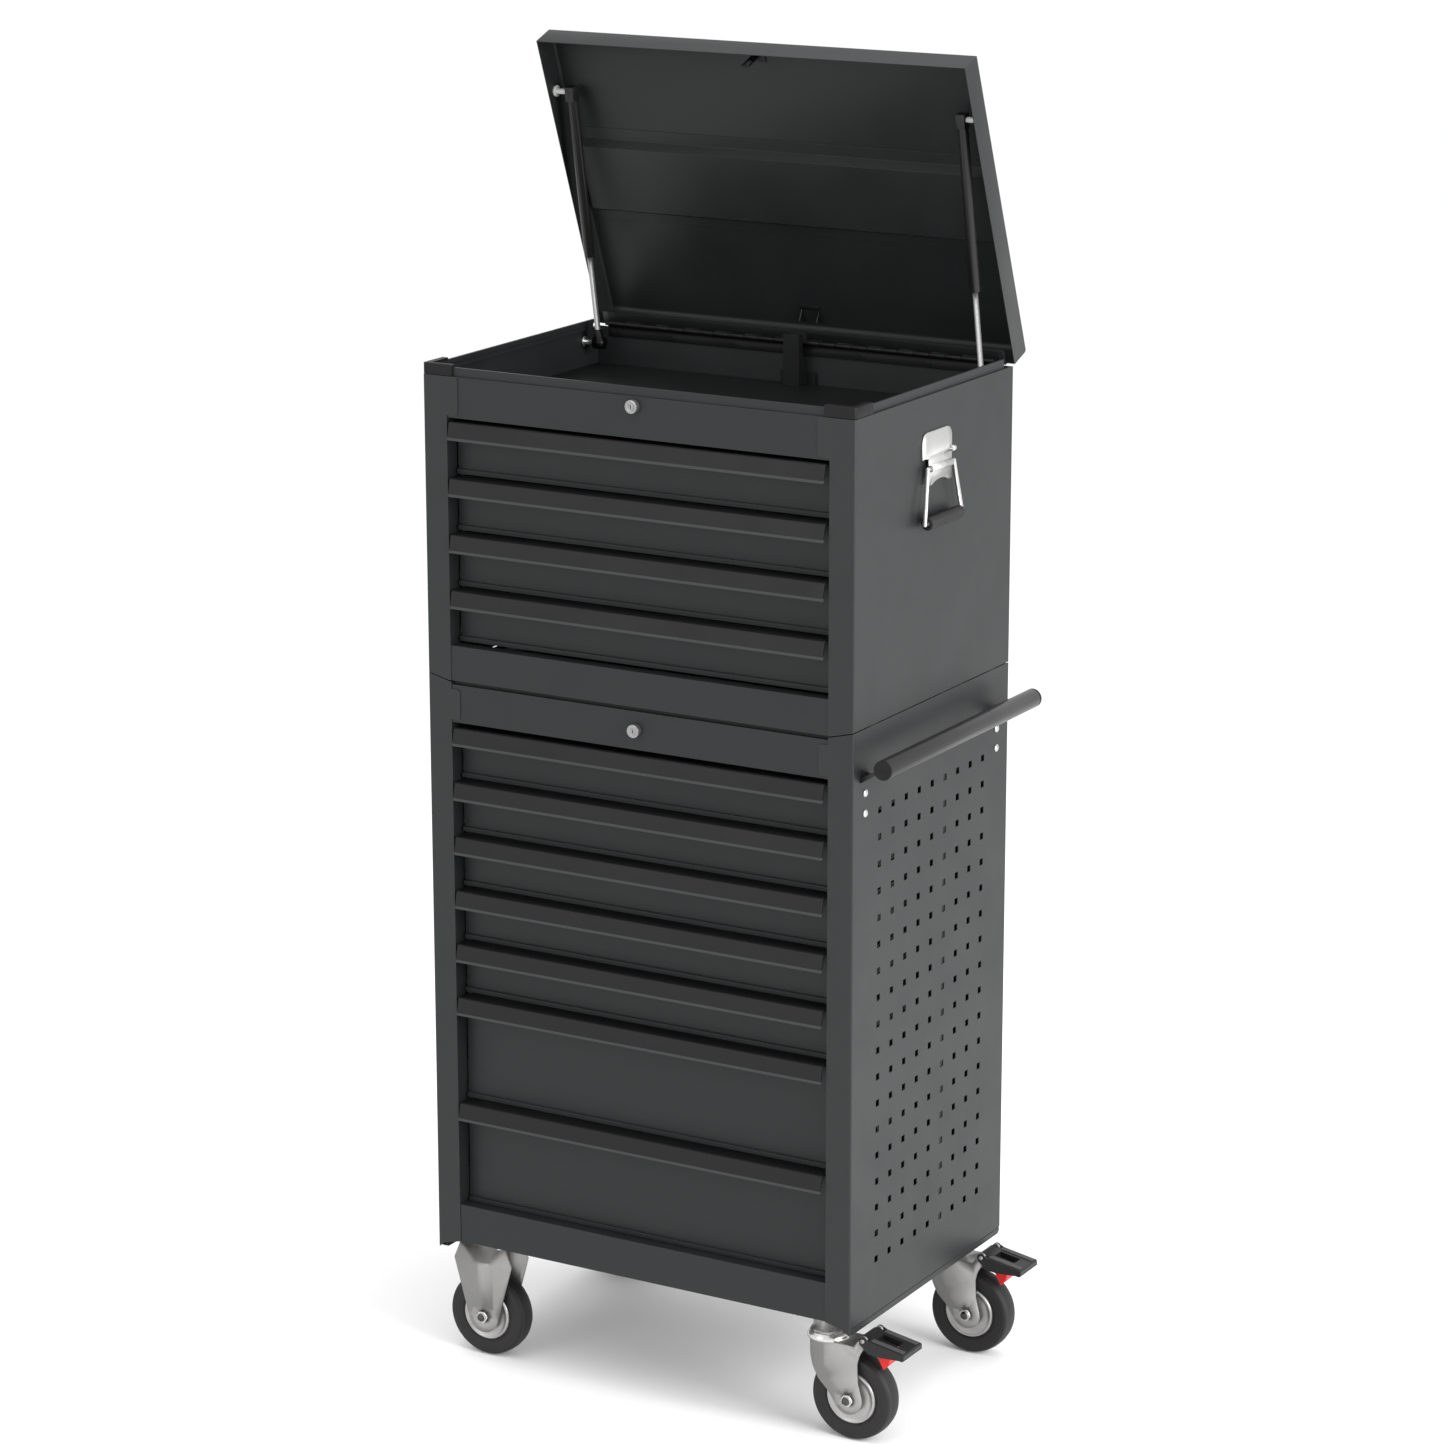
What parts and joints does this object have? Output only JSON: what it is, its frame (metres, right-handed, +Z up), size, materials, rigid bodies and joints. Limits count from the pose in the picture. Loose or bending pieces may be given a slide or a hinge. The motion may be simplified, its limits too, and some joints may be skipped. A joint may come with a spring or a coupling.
{
  "type": "rolling tool chest",
  "caption": "Tall steel drawer cabinet on casters with a lidded drawer chest fixed on top, full-width pulls, pegboard sides, side push handle and gas-strut lid.",
  "frame": {"origin": "on the floor under the middle of the overall bounding box, lid open as drawn", "axes": "+Z up, +X toward the side with the push handle and the swivel casters, drawers open toward -Y"},
  "size_m": [0.7716, 0.5045, 1.8883],
  "materials": {
    "body_paint": "satin dark grey powder coat",
    "front_paint": "satin dark grey powder coat on the fronts, darker pulls",
    "inner_paint": "satin black-grey paint on the inner sheet metal",
    "handle_paint": "semi-gloss black powder coat",
    "zinc": "zinc plated, slightly dull",
    "bright": "bright plated steel",
    "black_plastic": "moulded black plastic with a fine grain",
    "tyre": "black rubber tread on a plated wheel dish"
  },
  "bodies": {
    "carcass": {"cab_side_panels": "body_paint", "cab_back_panel": "body_paint", "cab_bottom_panel": "inner_paint", "cab_top_panel": "inner_paint", "cab_front_rails": "front_paint", "cab_base_rails": "inner_paint", "cab_uprights": "inner_paint", "cab_slide_rails": "zinc", "chest_side_panels": "body_paint", "chest_back_panel": "body_paint", "chest_bottom_panel": "inner_paint", "chest_tray_floor": "inner_paint", "chest_front_rails": "front_paint", "chest_slide_rails": "zinc", "chest_uprights": "inner_paint", "chest_rim": "body_paint", "rim_corner_caps": "black_plastic", "chest_hinge_leaf": "inner_paint", "lock_bar_channel": "inner_paint", "strut_studs": "bright", "push_handle_tube": "handle_paint", "push_tube_caps": "black_plastic", "push_handle_brackets": "handle_paint", "dome_screws": "bright", "bail_plates": "zinc", "fixed_forks": "zinc", "caster_plates": "zinc", "lock_housings": "bright"},
    "lid": {"lid_shell": "inner_paint", "lid_stiffener": "inner_paint", "lid_hinge_leaf": "inner_paint", "lid_fittings": "inner_paint"},
    "strut_rods": {"strut_rods": "bright"},
    "strut_cylinders": {"strut_cylinders": "handle_paint"},
    "bail_right": {"bail_right": "zinc", "grip_right": "black_plastic"},
    "bail_left": {"bail_left": "zinc", "grip_left": "black_plastic"},
    "chest_lock_core": {"chest_lock_core": "bright"},
    "cab_lock_core": {"cab_lock_core": "bright"},
    "chest_drawer_1": {"chest_drawer_1": "front_paint"},
    "chest_drawer_2": {"chest_drawer_2": "front_paint"},
    "chest_drawer_3": {"chest_drawer_3": "front_paint"},
    "chest_drawer_4": {"chest_drawer_4": "front_paint"},
    "cab_drawer_1": {"cab_drawer_1": "front_paint"},
    "cab_drawer_2": {"cab_drawer_2": "front_paint"},
    "cab_drawer_3": {"cab_drawer_3": "front_paint"},
    "cab_drawer_4": {"cab_drawer_4": "front_paint"},
    "cab_drawer_5": {"cab_drawer_5": "front_paint"},
    "cab_drawer_6": {"cab_drawer_6": "front_paint"},
    "cab_drawer_7": {"cab_drawer_7": "front_paint"},
    "swivel_fork_front": {"swivel_fork_front": "zinc"},
    "swivel_fork_rear": {"swivel_fork_rear": "zinc"},
    "brake_pedal_front": {"brake_pedal_front": "handle_paint"},
    "brake_pedal_rear": {"brake_pedal_rear": "handle_paint"},
    "wheel_swivel_front": {"wheel_swivel_front": "tyre"},
    "wheel_swivel_rear": {"wheel_swivel_rear": "tyre"},
    "wheel_fixed_front": {"wheel_fixed_front": "tyre"},
    "wheel_fixed_rear": {"wheel_fixed_rear": "tyre"}
  },
  "joints": [
    {"name": "lid_hinge", "type": "hinge", "parent": "carcass", "child": "lid", "pos_m": [-0.0258, 0.20277, 1.45461], "axis": [1, 0, 0], "range_deg": [0, 69], "stiffness_Nm_per_rad": 3, "springref_deg": -114.59},
    {"name": "strut_rod_pivot", "type": "hinge", "parent": "carcass", "child": "strut_rods", "pos_m": [-0.0258, 0.17177, 1.43061], "axis": [1, 0, 0], "range_deg": [0, 70.28]},
    {"name": "strut_slide", "type": "slide", "parent": "strut_rods", "child": "strut_cylinders", "axis": [0, -0.1843, 0.9829], "range_m": [-0.0443, 0]},
    {"name": "chest_drawer_1_slide", "type": "slide", "parent": "carcass", "child": "chest_drawer_1", "axis": [0, -1, 0], "range_m": [0, 0.3]},
    {"name": "chest_drawer_2_slide", "type": "slide", "parent": "carcass", "child": "chest_drawer_2", "axis": [0, -1, 0], "range_m": [0, 0.3]},
    {"name": "chest_drawer_3_slide", "type": "slide", "parent": "carcass", "child": "chest_drawer_3", "axis": [0, -1, 0], "range_m": [0, 0.3]},
    {"name": "chest_drawer_4_slide", "type": "slide", "parent": "carcass", "child": "chest_drawer_4", "axis": [0, -1, 0], "range_m": [0, 0.3]},
    {"name": "cab_drawer_1_slide", "type": "slide", "parent": "carcass", "child": "cab_drawer_1", "axis": [0, -1, 0], "range_m": [0, 0.3]},
    {"name": "cab_drawer_2_slide", "type": "slide", "parent": "carcass", "child": "cab_drawer_2", "axis": [0, -1, 0], "range_m": [0, 0.3]},
    {"name": "cab_drawer_3_slide", "type": "slide", "parent": "carcass", "child": "cab_drawer_3", "axis": [0, -1, 0], "range_m": [0, 0.3]},
    {"name": "cab_drawer_4_slide", "type": "slide", "parent": "carcass", "child": "cab_drawer_4", "axis": [0, -1, 0], "range_m": [0, 0.3]},
    {"name": "cab_drawer_5_slide", "type": "slide", "parent": "carcass", "child": "cab_drawer_5", "axis": [0, -1, 0], "range_m": [0, 0.3]},
    {"name": "cab_drawer_6_slide", "type": "slide", "parent": "carcass", "child": "cab_drawer_6", "axis": [0, -1, 0], "range_m": [0, 0.3]},
    {"name": "cab_drawer_7_slide", "type": "slide", "parent": "carcass", "child": "cab_drawer_7", "axis": [0, -1, 0], "range_m": [0, 0.3]},
    {"name": "chest_lock_turn", "type": "hinge", "parent": "carcass", "child": "chest_lock_core", "pos_m": [-0.0258, -0.24423, 1.43541], "axis": [0, 1, 0], "range_deg": [0, 90]},
    {"name": "cab_lock_turn", "type": "hinge", "parent": "carcass", "child": "cab_lock_core", "pos_m": [-0.0258, -0.24423, 0.98633], "axis": [0, 1, 0], "range_deg": [0, 90]},
    {"name": "bail_right_swing", "type": "hinge", "parent": "carcass", "child": "bail_right", "pos_m": [0.3202, -0.01623, 1.35011], "axis": [0, -1, 0], "range_deg": [0, 95]},
    {"name": "bail_left_swing", "type": "hinge", "parent": "carcass", "child": "bail_left", "pos_m": [-0.3718, -0.01623, 1.35011], "axis": [0, 1, 0], "range_deg": [0, 95]},
    {"name": "swivel_front", "type": "hinge", "parent": "carcass", "child": "swivel_fork_front", "pos_m": [0.2542, -0.19523, 0.15], "axis": [0, 0, 1], "continuous": true},
    {"name": "pedal_front", "type": "hinge", "parent": "swivel_fork_front", "child": "brake_pedal_front", "pos_m": [0.3214, -0.19523, 0.1557], "axis": [0, 1, 0], "range_deg": [0, 8]},
    {"name": "roll_swivel_front", "type": "hinge", "parent": "swivel_fork_front", "child": "wheel_swivel_front", "pos_m": [0.2972, -0.19523, 0.0625], "axis": [0, 1, 0], "continuous": true},
    {"name": "roll_fixed_front", "type": "hinge", "parent": "carcass", "child": "wheel_fixed_front", "pos_m": [-0.3058, -0.19523, 0.0625], "axis": [0, 1, 0], "continuous": true},
    {"name": "swivel_rear", "type": "hinge", "parent": "carcass", "child": "swivel_fork_rear", "pos_m": [0.2542, 0.16277, 0.15], "axis": [0, 0, 1], "continuous": true},
    {"name": "pedal_rear", "type": "hinge", "parent": "swivel_fork_rear", "child": "brake_pedal_rear", "pos_m": [0.3214, 0.16277, 0.1557], "axis": [0, 1, 0], "range_deg": [0, 8]},
    {"name": "roll_swivel_rear", "type": "hinge", "parent": "swivel_fork_rear", "child": "wheel_swivel_rear", "pos_m": [0.2972, 0.16277, 0.0625], "axis": [0, 1, 0], "continuous": true},
    {"name": "roll_fixed_rear", "type": "hinge", "parent": "carcass", "child": "wheel_fixed_rear", "pos_m": [-0.3058, 0.16277, 0.0625], "axis": [0, 1, 0], "continuous": true}
  ],
  "couplings": [
    {"joint": "strut_rod_pivot", "follows": "lid_hinge", "ratio": 1.0142},
    {"joint": "strut_slide", "follows": "lid_hinge", "m_per_rad": -0.036533}
  ]
}
